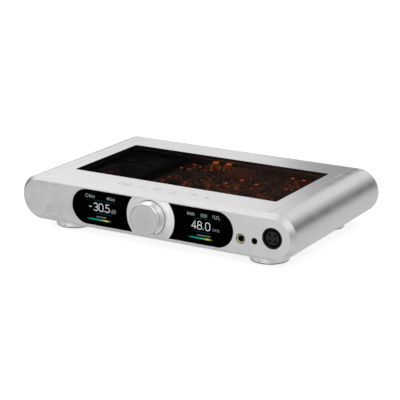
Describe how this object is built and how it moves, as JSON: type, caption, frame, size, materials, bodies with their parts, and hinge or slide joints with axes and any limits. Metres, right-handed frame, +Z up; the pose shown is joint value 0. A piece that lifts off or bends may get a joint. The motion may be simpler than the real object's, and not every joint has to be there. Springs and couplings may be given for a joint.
{
  "type": "desktop dac",
  "caption": "Desktop digital audio converter in a round-sided aluminium case, with a dark top window, two black front displays, a centre knob, headphone sockets and four disc feet.",
  "frame": {"origin": "bottom centre of the whole object, on the surface that its four feet stand on", "axes": "+X to the right seen from the front, +Y from the front towards the back, +Z up"},
  "size_m": [0.329, 0.2222, 0.0584],
  "materials": {
    "shell_aluminium": "fine satin, clear anodised",
    "knob_aluminium": "satin face with a polished chamfer",
    "smoked_glass": "dark tinted, polished",
    "display_black": "gloss black",
    "display_panel": "unlit panel",
    "gasket_rubber": "soft matt",
    "pad_rubber": "matt",
    "fastener_steel": "zinc plated",
    "gold_contact": "gold plated",
    "black_plastic": "fine texture",
    "nickel_plate": "bright nickel",
    "circuit_board": "solder mask",
    "component_black": "moulded epoxy",
    "capacitor_sleeve": "printed sleeve",
    "relay_case": "moulded",
    "sink_black": "black anodised",
    "winding_tape": "polyester tape",
    "cable_grey": "pvc",
    "fuse_glass": "clear",
    "print_grey": "screen print",
    "display_light": "lit characters and bars",
    "lamp_orange": "small warm indicator lamps"
  },
  "bodies": {
    "chassis": {"aes_insert": "black_plastic", "aes_shell": "nickel_plate", "balanced_jack": "black_plastic", "board_screws": "fastener_steel", "board_standoffs": "nickel_plate", "bottom_plate": "shell_aluminium", "bottom_plate_screws": "fastener_steel", "capacitors": "capacitor_sleeve", "chips": "component_black", "converter_board": "circuit_board", "display_lens_left": "display_black", "display_lens_right": "display_black", "display_module_left": "display_panel", "display_module_right": "display_panel", "encoder_body": "black_plastic", "encoder_nut": "nickel_plate", "foot_cups": "shell_aluminium", "foot_pads": "pad_rubber", "foot_screws": "fastener_steel", "front_board": "circuit_board", "front_fascia": "shell_aluminium", "headphone_jack": "black_plastic", "headphone_jack_ring": "gold_contact", "heat_sink": "sink_black", "inlet_body": "black_plastic", "inlet_pins": "nickel_plate", "knob_bezel": "shell_aluminium", "main_board": "circuit_board", "mains_wiring": "cable_grey", "optical_input": "black_plastic", "output_relays": "relay_case", "phono_sockets": "gold_contact", "power_board": "circuit_board", "power_shield": "sink_black", "rear_panel": "shell_aluminium", "rear_panel_screws": "fastener_steel", "ribbon_cable": "cable_grey", "side_rail_left": "shell_aluminium", "side_rail_right": "shell_aluminium", "socket_screws": "fastener_steel", "top_plate": "shell_aluminium", "top_plate_screws": "fastener_steel", "transformer": "winding_tape", "trigger_jacks": "black_plastic", "usb_socket": "nickel_plate", "window_gasket": "gasket_rubber", "window_glass": "smoked_glass", "xlr4_contacts": "gold_contact", "xlr4_insert": "black_plastic", "xlr4_shell": "black_plastic", "xlr_output_pins": "gold_contact", "xlr_outputs": "nickel_plate"},
    "encoder_push": {"encoder_plunger": "black_plastic"},
    "knob": {"volume_knob": "knob_aluminium", "knob_grub_screw": "fastener_steel", "encoder_shaft": "nickel_plate"},
    "shutter": {"optical_shutter": "black_plastic"},
    "drawer": {"fuse_drawer": "black_plastic", "fuse": "fuse_glass"},
    "rocker": {"power_rocker": "black_plastic"}
  },
  "joints": [
    {"name": "knob_push", "type": "slide", "parent": "chassis", "child": "encoder_push", "axis": [0, 1, 0], "range_m": [0, 0.0007], "stiffness_N_per_m": 3000},
    {"name": "knob_turn", "type": "hinge", "parent": "encoder_push", "child": "knob", "pos_m": [0, -0.09895, 0.0341], "axis": [0, 1, 0], "continuous": true},
    {"name": "optical_shutter_flap", "type": "hinge", "parent": "chassis", "child": "shutter", "pos_m": [-0.014, 0.10305, 0.0485], "axis": [1, 0, 0], "range_deg": [-80, 0], "stiffness_Nm_per_rad": 0.002},
    {"name": "fuse_drawer_slide", "type": "slide", "parent": "chassis", "child": "drawer", "axis": [0, 1, 0], "range_m": [0, 0.014]},
    {"name": "power_rocker_tilt", "type": "hinge", "parent": "chassis", "child": "rocker", "pos_m": [-0.117, 0.10145, 0.0341], "axis": [1, 0, 0], "range_deg": [-18, 0]}
  ]
}
